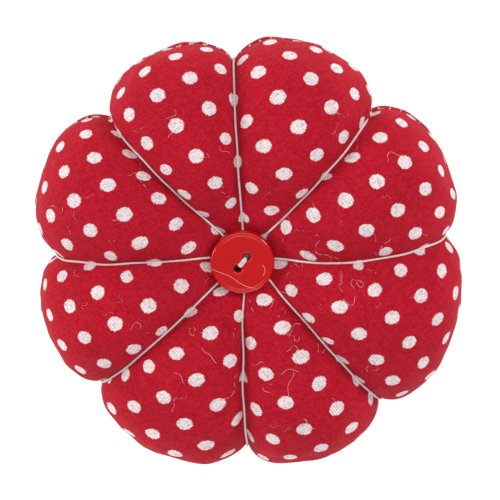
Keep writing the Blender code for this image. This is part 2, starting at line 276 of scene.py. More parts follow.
def cover_ways(half):
    """Rows of a cover, from the hole at the core to the seam."""
    slope = np.linspace(way_at(half, CLOTH_HOLE), SLOPE_WAY, SLOPE_ROWS, endpoint=False)
    shoulder = np.linspace(0, 1, SHOULDER_ROWS + 1)
    shoulder = SLOPE_WAY + (1 - SLOPE_WAY) * (shoulder + 0.09 * np.sin(np.pi * shoulder))
    return np.concatenate([slope, shoulder])


def grid_normals(points):
    """Unit normals of a grid whose columns go round, outward for rows that run from the top's
    middle outwards."""
    along = np.gradient(points, axis=0)
    around = np.roll(points, -1, axis=1) - np.roll(points, 1, axis=1)
    return unit(np.cross(along, around))


# Making meshes


def grid_faces(rows, columns):
    """Quads of a grid whose columns go round and join up."""
    first = np.arange(rows - 1)[:, None] * columns + np.arange(columns)
    beside = np.arange(rows - 1)[:, None] * columns + (np.arange(columns) + 1) % columns
    return np.stack([first, first + columns, beside + columns, beside], -1).reshape(-1, 4)


def new_object(name, points, faces, material, body, replaced=()):
    """A smooth mesh object at the origin that rides on a body, from an array of points and a
    list of faces."""
    mesh = bpy.data.meshes.new(name)
    mesh.from_pydata(points.reshape(-1, 3), [], faces)
    mesh.polygons.foreach_set("use_smooth", np.ones(len(faces), bool))
    mesh.materials.append(material)
    made = bpy.data.objects.new(name, mesh)
    bpy.context.scene.collection.objects.link(made)
    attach(made, body)
    if replaced:
        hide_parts(*replaced)
    return made


def tube_faces(rings):
    """Quads round closed tubes and a flat end at each end, for rings of (count, rings, sides, 3).
    The winding is set so that the first tube's volume is positive."""
    count, length, sides = rings.shape[:3]
    one = grid_faces(length, sides)
    start = np.arange(count)[:, None, None] * length * sides
    quads = (one + start).reshape(-1, 4)
    first = np.arange(sides)
    ends = np.stack([first, first[::-1] + (length - 1) * sides])
    ends = (ends + start).reshape(-1, sides)
    a, b, c = (rings[0].reshape(-1, 3)[one[:, k]] - rings[0, 0, 0] for k in range(3))
    if (np.cross(a, b) * c).sum() < 0:
        quads, ends = quads[:, ::-1], ends[:, ::-1]
    return quads.tolist() + ends.tolist()


def outline(angle, plies):
    """Distance from a thread's middle to its edge, as a share of its radius, where that many
    round plies touch round the middle. Loose fibre fills the grooves between them."""
    step = np.pi / plies
    ply = np.sin(step) / (1 + np.sin(step))
    within = (angle + step) % (2 * step) - step
    side = (1 - ply) * np.sin(within)
    edge = (1 - ply) * np.cos(within) + np.sqrt(np.maximum(ply**2 - side**2, 0))
    return np.maximum(edge, 0.55)


def thread_rings(paths, across, diameter, plies=3, sides=12, taper=0.0):
    """Rings of twisted threads carried along paths of (count, points, 3): the outline of the
    plies, turned once every LAY diameters. across is a direction that no path runs along. taper
    is the share of each end over which the thread narrows."""
    tangent = unit(np.gradient(paths, axis=1))
    side = unit(np.cross(tangent, across))
    up = np.cross(side, tangent)
    angle = 2 * np.pi * np.arange(sides) / sides
    turn = 2 * np.pi * length_along(paths, 1) / (LAY * diameter)
    round_it = (angle + turn[..., None])[..., None]
    edge = diameter / 2 * (outline(angle, plies) if plies > 1 else np.ones(sides))
    if taper:
        from_end = 0.5 - np.abs(np.linspace(-0.5, 0.5, paths.shape[1]))
        narrow = np.sqrt(np.clip(from_end / taper, 0.01, 1))
        edge = edge * narrow[:, None]
    ring = np.cos(round_it) * side[:, :, None] + np.sin(round_it) * up[:, :, None]
    return paths[:, :, None] + edge[..., None] * ring


def thread_object(name, paths, across, diameter, material, body, replaced=(), slot=None, **how):
    """Twisted threads along paths of (count, points, 3), as one piece."""
    rings = thread_rings(paths, across, diameter, **how)
    return new_object(name, rings, tube_faces(rings), material, body, replaced)


# Materials


def linear(value):
    """An sRGB hex colour as linear RGBA."""
    parts = np.array([int(value[k : k + 2], 16) for k in (1, 3, 5)]) / 255
    return (*np.where(parts <= 0.04045, parts / 12.92, ((parts + 0.055) / 1.055) ** 2.4), 1.0)


def add(tree, kind, sockets=None, **settings):
    """Adds a node. A socket's value is another node's output to link, or a constant."""
    made = tree.nodes.new("ShaderNode" + kind)
    for key, value in settings.items():
        setattr(made, key, value)
    for key, value in (sockets or {}).items():
        if isinstance(value, bpy.types.NodeSocket):
            tree.links.new(value, made.inputs[key])
        else:
            made.inputs[key].default_value = value
    return made


def new_material(name):
    """An empty node material and its tree."""
    material = bpy.data.materials.new(name)
    material.use_nodes = True
    material.node_tree.nodes.clear()
    return material, material.node_tree


def printed_cotton():
    """Quilting cotton: plain weave of fine spun yarn, piece-dyed red, with dots printed in opaque
    white pigment. To the eye it is matt with a faint bloom, speckled where the yarns cross, with
    slubs, and the dots have ragged edges where the pigment missed the sides of the yarns."""
    material, tree = new_material("printed_quilting_cotton")
    cloth = add(tree, "UVMap", uv_map="cloth").outputs[0]
    rows = add(
        tree,
        "Mapping",
        {
            0: cloth,
            1: (*PRINT_SHIFT, 0),
            2: (0, 0, math.radians(PRINT_TURN)),
            3: (DOT_PITCH, DOT_PITCH, 1),
        },
        vector_type="TEXTURE",
    ).outputs[0]
    per_dot = DOT_PITCH / WEAVE
    yarns = add(
        tree, "VectorMath", {0: rows, 1: (per_dot, per_dot, 0)}, operation="MULTIPLY"
    ).outputs[0]
    # Yarns wander a little, so the crossings aren't a perfect grid
    drift = add(tree, "TexNoise", {"Vector": rows, "Scale": 3.0, "Detail": 2.0}).outputs[1]
    drift = add(
        tree, "VectorMath", {0: drift, 1: (0.5, 0.5, 0.5)}, operation="SUBTRACT"
    ).outputs[0]
    yarns = add(
        tree,
        "VectorMath",
        {0: drift, 1: (0.9, 0.9, 0), 2: yarns},
        operation="MULTIPLY_ADD",
    ).outputs[0]
    at = add(tree, "SeparateXYZ", {0: yarns}).outputs
    rounds = []
    for axis in (0, 1):
        wave = add(tree, "Math", {0: at[axis], 1: math.pi}, operation="MULTIPLY").outputs[0]
        wave = add(tree, "Math", {0: wave}, operation="SINE").outputs[0]
        rounds.append(add(tree, "Math", {0: wave}, operation="ABSOLUTE").outputs[0])
    over = add(tree, "TexChecker", {"Vector": yarns, "Scale": 1.0}).outputs[1]
    weave = add(tree, "Mix", {0: over, 2: rounds[0], 3: rounds[1]}).outputs[0]
    crossing = add(tree, "VectorMath", {0: yarns}, operation="FLOOR").outputs[0]
    speckle = add(
        tree, "TexWhiteNoise", {"Vector": crossing}, noise_dimensions="2D"
    ).outputs[0]
    # Slubs: thick and thin places along the yarns of each direction
    slubs = []
    for stretch in ((0.035, 0.9, 1), (0.9, 0.035, 1)):
        along = add(tree, "Mapping", {0: yarns, 3: stretch}).outputs[0]
        slubs.append(
            add(tree, "TexNoise", {"Vector": along, "Scale": 1.0, "Detail": 2.0}).outputs[0]
        )
    slub = add(tree, "Mix", {0: over, 2: slubs[0], 3: slubs[1]}).outputs[0]
    # Dots: distance to the nearest lattice point, half snapped to the yarns
    fine = add(
        tree,
        "VectorMath",
        {0: rows, 1: (1 / per_dot, 1 / per_dot, 1)},
        operation="SNAP",
    ).outputs[0]
    ragged = add(tree, "Mix", {0: 0.45, 4: rows, 5: fine}, data_type="VECTOR").outputs[1]
    blot = add(tree, "TexNoise", {"Vector": rows, "Scale": 9.0, "Detail": 3.0}).outputs[1]
    ragged = add(
        tree,
        "VectorMath",
        {0: blot, 1: (0.05, 0.05, 0), 2: ragged},
        operation="MULTIPLY_ADD",
    ).outputs[0]
    ragged = add(
        tree, "VectorMath", {0: ragged, 1: (0.475, 0.475, 0)}, operation="ADD"
    ).outputs[0]
    near = add(tree, "VectorMath", {0: ragged}, operation="FRACTION").outputs[0]
    near = add(tree, "VectorMath", {0: near, 1: (0.5, 0.5, 0)}, operation="SUBTRACT").outputs[0]
    near = add(tree, "VectorMath", {0: near, 1: (1, 1, 0)}, operation="MULTIPLY").outputs[0]
    far = add(tree, "VectorMath", {0: near}, operation="LENGTH").outputs[1]
    edge = DOT_DIAMETER / 2 / DOT_PITCH
    dot = add(
        tree, "MapRange", {0: far, 1: edge + 0.012, 2: edge - 0.012, 3: 0.0, 4: 1.0}
    ).outputs[0]
    # Colours
    grain = add(tree, "Math", {0: speckle, 1: 0.45, 2: 0.1}, operation="MULTIPLY_ADD").outputs[0]
    grain = add(tree, "Math", {0: slub, 1: 0.7, 2: grain}, operation="MULTIPLY_ADD").outputs[0]
    red = add(tree, "ValToRGB", {0: grain})
    red.color_ramp.elements[0].position, red.color_ramp.elements[1].position = 0.25, 0.95
    red.color_ramp.elements[0].color = linear("#A50A1D")
    red.color_ramp.elements[1].color = linear("#C91831")
    white = add(tree, "ValToRGB", {0: grain})
    white.color_ramp.elements[0].position, white.color_ramp.elements[1].position = 0.2, 0.75
    white.color_ramp.elements[0].color = linear("#BEA8AC")
    white.color_ramp.elements[1].color = linear("#FAE9EA")
    colour = add(
        tree, "Mix", {0: dot, 6: red.outputs[0], 7: white.outputs[0]}, data_type="RGBA"
    ).outputs[2]
    gaps = add(tree, "MapRange", {0: weave, 1: 0.1, 2: 0.7, 3: 0.55, 4: 1.1}).outputs[0]
    worn = add(tree, "TexNoise", {"Vector": rows, "Scale": 0.55, "Detail": 3.0}).outputs[0]
    worn = add(tree, "MapRange", {0: worn, 1: 0.3, 2: 0.7, 3: 0.93, 4: 1.05}).outputs[0]
    shade = add(tree, "Math", {0: gaps, 1: worn}, operation="MULTIPLY").outputs[0]
    # Painted shade: the cloth's colour is darkened by up to 28 per cent along the creases and in
    # the seam's valley, where shade falls
    painted_crease_shade = add(tree, "Attribute", attribute_name="painted_crease_shade").outputs[2]
    painted_crease_shade = add(tree, "MapRange", {0: painted_crease_shade, 1: 0.0, 2: 1.0, 3: 1.0, 4: 0.72}).outputs[0]
    shade = add(tree, "Math", {0: shade, 1: painted_crease_shade}, operation="MULTIPLY").outputs[0]
    colour = add(
        tree, "VectorMath", {0: colour, "Scale": shade}, operation="SCALE"
    ).outputs[0]
    height = add(tree, "Math", {0: slub, 1: 0.6, 2: weave}, operation="MULTIPLY_ADD").outputs[0]
    # Pigment lies a little proud and fills the weave
    height = add(tree, "Math", {0: dot, 1: 0.25, 2: height}, operation="MULTIPLY_ADD").outputs[0]
    bump = add(
        tree, "Bump", {"Height": height, "Distance": 0.00007, "Strength": 0.5}
    ).outputs[0]
    rough = add(tree, "MapRange", {0: grain, 1: 0.2, 2: 1.0, 3: 0.95, 4: 0.8}).outputs[0]
    shader = add(
        tree,
        "BsdfPrincipled",
        {
            "Base Color": colour,
            "Roughness": rough,
            "Normal": bump,
            "IOR": 1.5,
            "Specular IOR Level": 0.15,
            "Sheen Weight": 0.03,
            "Sheen Roughness": 0.45,
            "Sheen Tint": linear("#FFC9CF"),
        },
    )
    add(tree, "OutputMaterial", {0: shader.outputs[0]})
    return material


def spun_thread(name, pale, dark, sheen, lay):
    """Thread of twisted plies of fine staple fibre. To the eye it is soft white, darker in the
    grooves of the twist, with uneven, slightly fuzzy plies. lay is one turn of the twist."""
    material, tree = new_material(name)
    place = add(tree, "TexCoord").outputs[3]
    fibre = add(
        tree, "TexNoise", {"Vector": place, "Scale": 1 / 0.00025, "Detail": 4.0, "Roughness": 0.7}
    ).outputs[0]
    uneven = add(tree, "TexNoise", {"Vector": place, "Scale": 1 / lay, "Detail": 2.0}).outputs[0]
    mixed = add(tree, "Math", {0: fibre, 1: 0.6}, operation="MULTIPLY").outputs[0]
    mixed = add(tree, "Math", {0: uneven, 1: 0.4, 2: mixed}, operation="MULTIPLY_ADD").outputs[0]
    ramp = add(tree, "ValToRGB", {0: mixed})
    ramp.color_ramp.elements[0].position, ramp.color_ramp.elements[1].position = 0.32, 0.66
    ramp.color_ramp.elements[0].color = linear(dark)
    ramp.color_ramp.elements[1].color = linear(pale)
    bump = add(
        tree, "Bump", {"Height": fibre, "Distance": 0.00004, "Strength": 0.7}
    ).outputs[0]
    rough = add(tree, "MapRange", {0: fibre, 1: 0.2, 2: 0.8, 3: 0.6, 4: 0.85}).outputs[0]
    shader = add(
        tree,
        "BsdfPrincipled",
        {
            "Base Color": ramp.outputs[0],
            "Roughness": rough,
            "Normal": bump,
            "IOR": 1.53,
            "Specular IOR Level": 0.35,
            "Sheen Weight": sheen,
            "Sheen Roughness": 0.5,
        },
    )
    add(tree, "OutputMaterial", {0: shader.outputs[0]})
    return material


def polished_polyester():
    """Button polyester: cast resin turned on a lathe and tumble-polished. To the eye it is a deep
    even red under a clear gloss, with faint turning marks, fine scratches and duller patches
    where handling has worn the rim."""
    material, tree = new_material("tumble_polished_polyester")
    place = add(tree, "TexCoord").outputs[3]
    centred = add(
        tree, "VectorMath", {0: place, 1: (*CORE, 0)}, operation="SUBTRACT"
    ).outputs[0]
    cloud = add(
        tree, "TexNoise", {"Vector": place, "Scale": 1 / 0.004, "Detail": 4.0}
    ).outputs[0]
    ramp = add(tree, "ValToRGB", {0: cloud})
    ramp.color_ramp.elements[0].position, ramp.color_ramp.elements[1].position = 0.3, 0.7
    ramp.color_ramp.elements[0].color = linear("#C20508")
    ramp.color_ramp.elements[1].color = linear("#CA080C")
    flat = add(tree, "VectorMath", {0: centred, 1: (1, 1, 0)}, operation="MULTIPLY").outputs[0]
    out = add(tree, "VectorMath", {0: flat}, operation="LENGTH").outputs[1]
    # Turning marks 0.15 mm apart
    marks = add(tree, "Math", {0: out, 1: 2 * math.pi / 0.00015}, operation="MULTIPLY").outputs[0]
    marks = add(tree, "Math", {0: marks}, operation="SINE").outputs[0]
    dust = add(
        tree, "TexNoise", {"Vector": place, "Scale": 1 / 0.00022, "Detail": 3.0}
    ).outputs[0]
    scuffs = add(tree, "Mapping", {0: place, 2: (0, 0, 0.7), 3: (900, 9000, 900)}).outputs[0]
    scuffs = add(tree, "TexNoise", {"Vector": scuffs, "Scale": 1.0, "Detail": 3.0}).outputs[0]
    height = add(tree, "Math", {0: marks, 1: 0.10}, operation="MULTIPLY").outputs[0]
    height = add(tree, "Math", {0: scuffs, 1: 0.5, 2: height}, operation="MULTIPLY_ADD").outputs[0]
    height = add(tree, "Math", {0: cloud, 1: 4.0, 2: height}, operation="MULTIPLY_ADD").outputs[0]
    bump = add(
        tree, "Bump", {"Height": height, "Distance": 0.00001, "Strength": 0.5}
    ).outputs[0]
    rough = add(tree, "MapRange", {0: dust, 1: 0.45, 2: 0.75, 3: 0.14, 4: 0.34}).outputs[0]
    shader = add(
        tree,
        "BsdfPrincipled",
        {
            "Base Color": ramp.outputs[0],
            "Roughness": rough,
            "Normal": bump,
            "IOR": 1.5,
            "Specular IOR Level": 0.45,
            "Coat Weight": 0.35,
            "Coat Roughness": 0.05,
        },
    )
    add(tree, "OutputMaterial", {0: shader.outputs[0]})
    return material


def polyester_fibre():
    """Fibrefill: crimped hollow polyester staple, carded and packed tight. To the eye it is a
    bright white tangle of fine curled fibre."""
    material, tree = new_material("carded_polyester_fibrefill")
    place = add(tree, "TexCoord").outputs[3]
    tangle = add(
        tree,
        "TexNoise",
        {"Vector": place, "Scale": 1 / 0.0012, "Detail": 6.0, "Roughness": 0.7, "Distortion": 2.5},
    ).outputs[0]
    ramp = add(tree, "ValToRGB", {0: tangle})
    ramp.color_ramp.elements[0].position, ramp.color_ramp.elements[1].position = 0.35, 0.62
    ramp.color_ramp.elements[0].color = linear("#CDCBC6")
    ramp.color_ramp.elements[1].color = linear("#F7F6F2")
    bump = add(tree, "Bump", {"Height": tangle, "Distance": 0.0004, "Strength": 0.9}).outputs[0]
    shader = add(
        tree,
        "BsdfPrincipled",
        {
            "Base Color": ramp.outputs[0],
            "Roughness": 0.9,
            "Normal": bump,
            "Sheen Weight": 0.3,
        },
    )
    add(tree, "OutputMaterial", {0: shader.outputs[0]})
    return material


def studio_sheet():
    """The floor: matt white background paper, lit so brightly that it shows almost no shadow."""
    material, tree = new_material("background_paper")
    place = add(tree, "TexCoord").outputs[3]
    grain = add(tree, "TexNoise", {"Vector": place, "Scale": 900.0, "Detail": 3.0}).outputs[0]
    ramp = add(tree, "ValToRGB", {0: grain})
    ramp.color_ramp.elements[0].color = linear("#F6F6F6")
    ramp.color_ramp.elements[1].color = linear("#FFFFFF")
    shader = add(
        tree,
        "BsdfPrincipled",
        {
            "Base Color": ramp.outputs[0],
            "Roughness": 0.95,
            "Emission Color": linear("#FFFFFF"),
            "Emission Strength": 0.5,
        },
    )
    add(tree, "OutputMaterial", {0: shader.outputs[0]})
    return material


cotton = printed_cotton()
white_thread = spun_thread(
    "mercerised_cotton_thread", "#FFF8F8", "#E2CED2", 0.15, LAY * SECTION_THREAD
)
seam_cotton = spun_thread(
    "spun_polyester_thread", "#FBF3F2", "#DCCACB", 0.1, LAY * SEWING_THREAD
)
resin = polished_polyester()
fibrefill = polyester_fibre()

# The covers


def settle(points, lobe_columns, seat_rows, seam_row):
    """The grid after the cloth has been blown up and has settled: Blender's cloth at ten times
    the size, held along the creases and under the buttons and softly everywhere else, with a
    little spare cloth beside the seam and the creases that has to gather."""
    rows, columns = points.shape[:2]
    scale = 10.0
    mesh = bpy.data.meshes.new("settling")
    mesh.from_pydata((points * scale).reshape(-1, 3), [], grid_faces(rows, columns).tolist())
    body = bpy.data.objects.new("settling", mesh)
    bpy.context.scene.collection.objects.link(body)
    row, column = np.mgrid[:rows, :columns]
    half_lobe = lobe_columns // 2
    from_crease = np.abs((column + half_lobe) % lobe_columns - half_lobe)
    held = np.where(from_crease == 0, 1.0, 0.15)
    held = np.maximum(held, (row < seat_rows) | (row >= rows - seat_rows))
    held = np.maximum(held, np.where(points[..., 2] < 0.0003, 0.8, 0))
    spare = np.exp(-(((row - seam_row) / 6.0) ** 2)) + 0.7 * np.exp(-((from_crease / 4.0) ** 2))
    for name, weight in (("held", held), ("taut", 1 - np.clip(spare, 0, 1))):
        group = body.vertex_groups.new(name=name)
        levels = np.round(weight.ravel() * 20).astype(int)
        for level in np.unique(levels[levels > 0]):
            group.add(np.flatnonzero(levels == level).tolist(), level / 20, "REPLACE")
    cloth = body.modifiers.new("cloth", "CLOTH")
    how = cloth.settings
    how.quality = 6
    how.mass = 0.15
    how.tension_stiffness = how.compression_stiffness = 120
    how.shear_stiffness = 12
    how.bending_stiffness = 0.01
    how.tension_damping = how.compression_damping = 15
    how.air_damping = 2
    how.use_pressure = True
    how.uniform_pressure_force = 0.3
    how.vertex_group_mass = "held"
    how.pin_stiffness = 1
    how.vertex_group_shrink = "taut"
    how.shrink_min, how.shrink_max = -0.01, 0.0
    how.effector_weights.gravity = 0
    cloth.collision_settings.use_collision = False
    cloth.collision_settings.use_self_collision = False
    scene = bpy.context.scene
    for number in range(1, 21):
        scene.frame_set(number)
    evaluated = body.evaluated_get(bpy.context.evaluated_depsgraph_get())
    settled = np.empty(rows * columns * 3, np.float32)
    evaluated.data.vertices.foreach_get("co", settled)
    scene.frame_set(1)
    bpy.data.objects.remove(body)
    bpy.data.meshes.remove(mesh)
    return settled.reshape(rows, columns, 3).astype(float) / scale


def softened(values, times=1):
    """Each value averaged with its four neighbours in a grid whose columns go round."""
    for _ in range(times):
        padded = np.pad(values, ((1, 1), (0, 0), (0, 0)), mode="edge")
        values = (padded[:-2] + 2 * padded[1:-1] + padded[2:]) / 4
        values = (np.roll(values, 1, 1) + 2 * values + np.roll(values, -1, 1)) / 4
    return values


def capped(vectors, furthest):
    """The vectors, none longer than that: a length becomes the cap times its tanh share."""
    size = np.linalg.norm(vectors, axis=-1, keepdims=True)
    return vectors * np.tanh(size / furthest) * furthest / np.maximum(size, 1e-9)


top_way, under_way = cover_ways(TOP), cover_ways(UNDER)
shares = (1 - np.cos(np.pi * np.arange(COLUMNS) / COLUMNS)) / 2
SEAM_ROW = len(top_way) - 1


def whole_surface(share, step):
    """Both halves as one grid, from the hole in the top to the hole in the underside."""
    top, under = lobed_surface(TOP, top_way[::step], share), lobed_surface(UNDER, under_way, share)
    return np.concatenate([top, under[::step][-2::-1]])


whole = whole_surface(shares, 1)
start = whole_surface(np.arange(SETTLING) / SETTLING, 2)
moved = settle(start, SETTLING, 8, SEAM_ROW // 2) - start
# More of the wrinkles is kept than of the swelling, because the shape starts full
swelling = softened(moved, 40)
moved = capped(SWELLING_KEPT * swelling, SWELLING_CAP) + capped(
    WRINKLES_KEPT * (moved - swelling), WRINKLES_CAP
)
place = ((np.arange(LOBE_COUNT)[:, None] + shares) * SETTLING).ravel()
before = place.astype(int)
part = (place - before)[:, None]
after = (before + 1) % (LOBE_COUNT * SETTLING)
moved = moved[:, before] * (1 - part) + moved[:, after] * part
filled = np.stack([moved[:-1], (moved[:-1] + moved[1:]) / 2], 1).reshape(-1, *moved.shape[1:])
whole = whole + softened(np.concatenate([filled, moved[-1:]]), 2)

columns = np.arange(whole.shape[1])
from_crease = np.abs((columns + COLUMNS // 2) % COLUMNS - COLUMNS // 2) / (COLUMNS / 2)
outward = grid_normals(whole)
lift = np.sin(np.pi / 2 * from_crease) ** 0.7
# Lumps of stuffing, and small puckers where the stitches gather the seam
seam_distance = length_along(whole, 0)
seam_distance = np.abs(seam_distance - seam_distance[SEAM_ROW])
whole = whole + outward * (
    0.00016 * waves(whole, 0.013, 3) * lift
    + 0.00007 * waves(whole, 0.0055, 4) * lift
    + 0.00009 * waves(whole, 0.0048, 5) * np.exp(-((seam_distance / 0.0035) ** 2)) * lift
)[..., None]
whole[..., 2] = np.maximum(whole[..., 2], 0)
seam_line = whole[SEAM_ROW]


def cloth_place(grid, seat_radius):
    """Flat cloth coordinates of a half's grid, in metres from its disc's centre: polar, with the
    arc length down the middle of the lobe as radius and the share of the arc across the lobe as
    azimuth, both shifted as the two tables say. The shifts grow from nothing at the core as a
    quarter of a sine."""
    rows = len(grid)
    middle = grid.reshape(rows, LOBE_COUNT, COLUMNS, 3)[:, :, COLUMNS // 2]
    down = CLOTH_HOLE + length_along(middle, 0)
    closed = np.concatenate([grid, grid[:, :1]], 1)
    along = length_along(closed, 1)
    starts = along[:, : LOBE_COUNT * COLUMNS : COLUMNS]
    ends = along[:, COLUMNS::COLUMNS]
    share = along[:, :-1].reshape(rows, LOBE_COUNT, COLUMNS)
    share = (share - starts[..., None]) / (ends - starts)[..., None]
    turned = np.radians(CREASES[:, 0] + CREASES[:, 3])
    following = np.append(turned[1:], turned[0] + 2 * np.pi)
    hump = 4 * share * (1 - share)
    azimuth = turned[:, None] + (following - turned)[:, None] * share
    azimuth = azimuth + np.radians(LOBES[:, 3])[:, None] * hump
    shift = CREASES[:, 4][:, None] * (1 - share) + np.roll(CREASES[:, 4], -1)[:, None] * share
    near, far = (
        np.sin(np.pi / 2 * np.clip(down / reach, 0, 1)) for reach in (seat_radius, PULLED_OVER)
    )
    shift = shift * far[..., None] + LOBES[:, 2][:, None] * hump * near[..., None]
    radius = CLOTH_STRETCH * down[..., None] + shift
    return np.stack([radius * np.cos(azimuth), radius * np.sin(azimuth)], -1).reshape(rows, -1, 2)


def cover(name, grid, half, material, replaced):
    """One cover: the half's grid, then the edge turned in behind the seam, given thickness. Its UV
    map is the flat cloth in metres, and a point attribute weighs the painted shade: 1 along the
    creases and in the seam's valley, where the cloth's colour is darkened to stand for shade, and 0
    in the open."""
    seam = grid[-1]
    axis = np.array([*CORE, SEAM_HEIGHT])
    inward = unit((axis - seam) * (1, 1, 0))
    behind = np.sign(half["lobe"] - SEAM_HEIGHT)
    steps = np.array([0.25, 0.5, 1.0])[:, None, None]
    turned_in = seam + inward * steps * SEAM_ALLOWANCE
    turned_in[..., 2] = seam[:, 2] + behind * 0.0002 * np.array([1, 1.5, 2])[:, None]
    points = np.concatenate([grid, turned_in])
    faces = grid_faces(*points.shape[:2])
    if behind < 0:
        faces = faces[:, ::-1]
    made = new_object(name, points, faces.tolist(), material, "cushion", replaced)
    flat = cloth_place(grid, half["seat_radius"])
    beyond = flat[-1] * (1 + steps * SEAM_ALLOWANCE / np.linalg.norm(flat[-1], axis=-1)[:, None])
    flat = np.concatenate([flat, beyond])
    if behind < 0:
        flat = flat * (1, -1) + DOT_PITCH * np.array(UNDERSIDE_CUT)
    places = np.empty(len(faces) * 4, np.int32)
    made.data.loops.foreach_get("vertex_index", places)
    made.data.uv_layers.new(name="cloth").data.foreach_set(
        "uv", flat.reshape(-1, 2)[places].ravel()
    )
    # Painted shade weight: 1 at the creases and in the seam's valley, fading to 0 in the open
    near = np.exp(-((np.minimum(from_crease, 1) * 20 / 1.3) ** 2))
    down = length_along(points, 0)
    near_seam = np.exp(-(((down - down[len(grid) - 1]) / 0.0012) ** 2))
    painted_crease_shade = np.maximum(near[None], near_seam)
    made.data.attributes.new("painted_crease_shade", "FLOAT", "POINT").data.foreach_set("value", painted_crease_shade.ravel())
    thick = made.modifiers.new("thickness", "SOLIDIFY")
    thick.thickness, thick.offset = CLOTH, -1
    return made


cover("printed_top", whole[: SEAM_ROW + 1], TOP, cotton, ["top_cover"])
cover("printed_underside", whole[: SEAM_ROW - 1 : -1], UNDER, cotton, ["bottom_cover"])

# Stuffing: the cushion's inside at a quarter of the columns, 0.8 mm further in, lumpy
inside = (whole - outward * 0.0008)[::2, ::4]
inside = inside - grid_normals(inside) * (0.0002 * (1 + waves(inside, 0.004, 8)))[..., None]
inside[..., 2] = np.maximum(inside[..., 2], 0.0006)
stuffing_faces = grid_faces(*inside.shape[:2]).tolist()
last = len(inside) * inside.shape[1]
stuffing_faces.append(list(range(inside.shape[1]))[::-1])
stuffing_faces.append(list(range(last - inside.shape[1], last)))
stuffing = new_object(
    "packed_fibrefill", inside, stuffing_faces, fibrefill, "cushion", ["filling"]
)

# Threads over the cushion

top_run, under_run = (np.linspace(way_at(half, CORE_REACH), 1, 220) for half in (TOP, UNDER))
runs = np.concatenate(
    [crease_lines(TOP, top_run, 0.0), crease_lines(UNDER, under_run, 0.0)[-2::-1]]
)
for number in range(LOBE_COUNT):
    azimuth = math.radians(CREASES[number, 0])
    sideways = np.array([-math.sin(azimuth), math.cos(azimuth), 0])
    path = even(runs[:, number], LAY * SECTION_THREAD / 8)
    outwards = unit(np.cross(np.gradient(path, axis=0), sideways))
    wander = waves(path, 0.011, 20 + number)[:, None] * sideways * 0.00008
    proud = RESTING * np.ones(len(path))
    if number in CLOSED_OVER:
        level = path[:, 2] - SEAM_HEIGHT
        proud = proud - SINKING * np.exp(-((level / SINKING_REACH) ** 4))
    path = path + outwards * SECTION_THREAD * proud[:, None] + wander
    thread_object(
        f"section_thread_loop_{number + 1}", path[None], sideways, SECTION_THREAD, white_thread,
        "cushion", [f"section_thread_{number + 1}"], "white_thread",
    )

# The bundle of those threads, down through the middle
height = np.linspace(core_low.z, core_high.z, 160)
bundle = polar(0.00012 * np.sin(height / 0.004), height * 0, height)
thread_object(
    "core_twist", bundle[None], np.array([0, 1, 0]), core_high.x - core_low.x, white_thread,
    "cushion", ["core_bundle"], "white_thread", plies=LOBE_COUNT, sides=48,
)


def seam_places(start, stop, pitch):
    """Points spread evenly along the seam from one column to another, with the directions along
    it and outwards."""
    columns = np.arange(start, stop + 1) % len(seam_line)
    path = even(seam_line[columns], 0.0003)
    along = length_along(path, 0)
    at = np.arange(pitch / 2, along[-1], pitch)
    spots = np.stack([np.interp(at, along, column) for column in path.T], -1)
    tangent = unit(np.stack([np.interp(at, along, c) for c in np.gradient(path, axis=0).T], -1))
    return spots, tangent, unit(np.cross(tangent, (0, 0, 1.0)))


def stitches(spots, tangent, outward, half_length, slant, seed):
    """Short bars of thread across the seam's valley, (count, points, 3): each leans along the
    seam, dips into the valley's middle and dives into the cloth at both ends."""
    random = np.random.default_rng(seed)
    reach = np.linspace(-1, 1, 9)[:, None]
    length = half_length * random.uniform(0.8, 1.15, (len(spots), 1, 1))
    lean = slant * random.uniform(0.7, 1.3, (len(spots), 1, 1))
    level = reach * length
    valley = SEAM_FOLD * (1 - np.exp(-((level / SEAM_GROOVE) ** 2)))
    out = valley + 0.00006 - 0.0004 * np.abs(reach) ** 5
    return (
        spots[:, None]
        + level * np.array([0, 0, 1.0])
        + lean * reach * tangent[:, None]
        + out * outward[:, None]
    )


first_hand, last_hand = CLOSED_BY_HAND * COLUMNS + 8, (CLOSED_BY_HAND + 1) * COLUMNS - 8
machine = seam_places(last_hand, first_hand + LOBE_COUNT * COLUMNS, STITCH_PITCH)
paths = stitches(*machine, 0.0007, 0.00012, 41)
thread_object(
    "seam_stitches", paths, np.array([0.6, 0.8, 0.05]), SEWING_THREAD, seam_cotton, "cushion",
    ["seam_thread"], "sewing_thread", plies=1, sides=6, taper=0.12,
)
by_hand = seam_places(first_hand, last_hand, LADDER_PITCH)
paths = stitches(*by_hand, 0.0010, 0.00055, 42)
thread_object(
    "closing_ladder_stitches", paths, np.array([0.6, 0.8, 0.05]), SEWING_THREAD * 1.3,
    seam_cotton, "cushion", ["closing_thread"], "sewing_thread", plies=1, sides=8, taper=0.12,
)

# Buttons


def lathe(profile, centre, sides=144):
    """Points and faces of a profile of (radius, height) turned about an upright axis. The
    profile starts and ends on the axis, where triangles close it."""
    angle = 2 * np.pi * np.arange(sides) / sides
    rings = polar(profile[1:-1, :1], angle, profile[1:-1, 1:], centre)
    poles = polar(np.zeros(2), 0.0, profile[[0, -1], 1], centre)
    count = len(profile) - 2
    faces = grid_faces(count, sides)
    ring, next_ring = np.arange(sides), (np.arange(sides) + 1) % sides
    last = (count - 1) * sides
    start = np.stack([np.full(sides, count * sides), ring, next_ring], -1)
    stop = np.stack([np.full(sides, count * sides + 1), last + next_ring, last + ring], -1)
    points = np.concatenate([rings.reshape(-1, 3), poles])
    return points, faces.tolist() + start.tolist() + stop.tolist()


